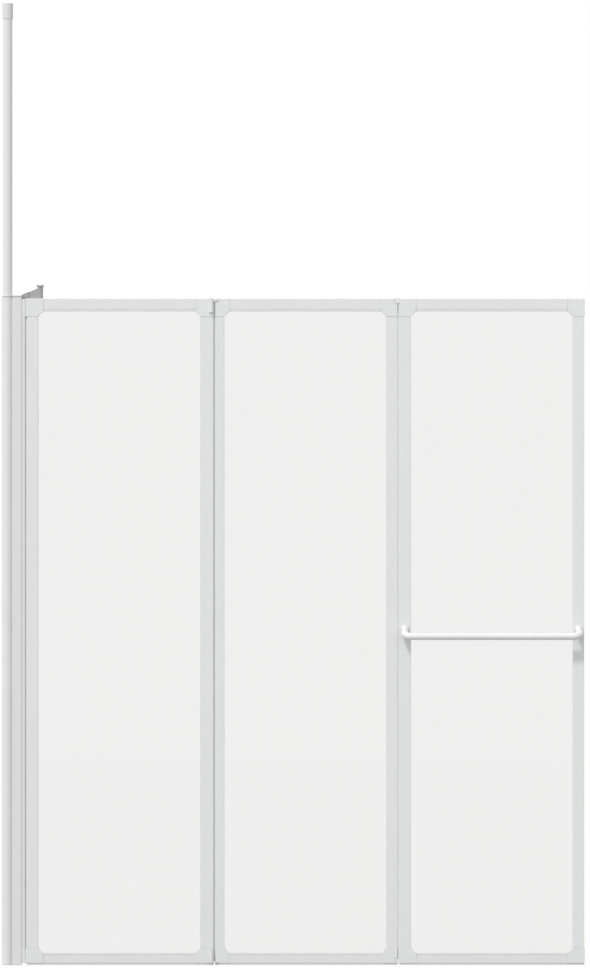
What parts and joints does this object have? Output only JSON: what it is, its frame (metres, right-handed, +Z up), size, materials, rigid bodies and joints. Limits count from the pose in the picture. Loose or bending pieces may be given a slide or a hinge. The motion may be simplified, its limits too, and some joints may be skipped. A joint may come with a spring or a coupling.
{
  "type": "folding bath screen",
  "caption": "Folding bath screen: framed clear glass panels hinged edge to edge on a post, with a telescopic pole clamped between bath rim and ceiling and a towel rail.",
  "frame": {"origin": "on the telescopic pole's axis, on the bath rim under the rim pad", "axes": "+Z up along the pole, +X along the straight screen away from the post, -Y to the room side that carries the towel rail, +Y to the bath side"},
  "size_m": [1.2243, 0.0744, 2.0208],
  "materials": {
    "frame_white": "white powder coat on aluminium extrusion, satin",
    "post_white": "white enamel on aluminium tube and extrusion, semi-gloss",
    "moulding_white": "white injection-moulded plastic with a fine grain",
    "clear_glass": "clear toughened glass",
    "gasket_white": "white glazing gasket",
    "seal_grey": "grey flexible seal",
    "arm_grey": "grey glass-filled moulded plastic",
    "bolt_grey": "dull plated steel",
    "rail_white": "glossy white enamel on aluminium bar",
    "foot_rubber": "white soft rubber",
    "inner_plastic": "natural moulded plastic",
    "steel": "bright plated steel"
  },
  "bodies": {
    "post": {"post_profile": "post_white", "hinge_profile": "frame_white", "hinge_blocks": "moulding_white", "hinge_pins_post": "steel", "post_screws": "steel", "post_cap": "moulding_white", "post_foot": "moulding_white", "rim_pad": "foot_rubber", "spring_seat": "inner_plastic", "tension_spring": "steel"},
    "pole": {"inner_tube": "post_white", "inner_tube_glider": "inner_plastic", "ceiling_foot": "foot_rubber"},
    "panel_1": {"panel1_pane": "clear_glass", "panel1_gasket": "gasket_white", "panel1_bottom_seal": "seal_grey", "panel1_corner_screws": "steel", "panel1_stile_left": "frame_white", "panel1_stile_right": "frame_white", "panel1_rail_top": "frame_white", "panel1_rail_bottom": "frame_white", "panel1_corner_top_left": "moulding_white", "panel1_corner_top_right": "moulding_white", "panel1_corner_bottom_left": "moulding_white", "panel1_corner_bottom_right": "moulding_white", "hinge_arm": "arm_grey", "hinge_arm_bolt": "bolt_grey", "hinge_pins_front": "steel", "seal_post": "seal_grey"},
    "panel_2": {"panel2_pane": "clear_glass", "panel2_gasket": "gasket_white", "panel2_bottom_seal": "seal_grey", "panel2_corner_screws": "steel", "panel2_stile_left": "frame_white", "panel2_stile_right": "frame_white", "panel2_rail_top": "frame_white", "panel2_rail_bottom": "frame_white", "panel2_corner_top_left": "moulding_white", "panel2_corner_top_right": "moulding_white", "panel2_corner_bottom_left": "moulding_white", "panel2_corner_bottom_right": "moulding_white", "hinge_pins_back": "steel", "seal_front": "seal_grey"},
    "panel_3": {"panel3_pane": "clear_glass", "panel3_gasket": "gasket_white", "panel3_bottom_seal": "seal_grey", "panel3_corner_screws": "steel", "panel3_stile_left": "frame_white", "panel3_stile_right": "frame_white", "panel3_rail_top": "frame_white", "panel3_rail_bottom": "frame_white", "panel3_corner_top_left": "moulding_white", "panel3_corner_top_right": "moulding_white", "panel3_corner_bottom_left": "moulding_white", "panel3_corner_bottom_right": "moulding_white", "seal_back": "seal_grey", "towel_rail": "rail_white", "rail_flanges": "moulding_white", "rail_screws": "steel"}
  },
  "joints": [
    {"name": "pole_slide", "type": "slide", "parent": "post", "child": "pole", "axis": [0, 0, 1], "range_m": [-0.15, 0.08], "deforming": ["tension_spring"]},
    {"name": "post_hinge", "type": "hinge", "parent": "post", "child": "panel_1", "pos_m": [0.0388, 0.0145, 0.7], "axis": [0, 0, 1], "range_deg": [0, 90]},
    {"name": "front_hinge", "type": "hinge", "parent": "panel_1", "child": "panel_2", "pos_m": [0.4282, -0.0115, 0.7], "axis": [0, 0, 1], "range_deg": [-165, 0]},
    {"name": "back_hinge", "type": "hinge", "parent": "panel_2", "child": "panel_3", "pos_m": [0.8214, 0.0145, 0.7], "axis": [0, 0, 1], "range_deg": [0, 175]}
  ]
}
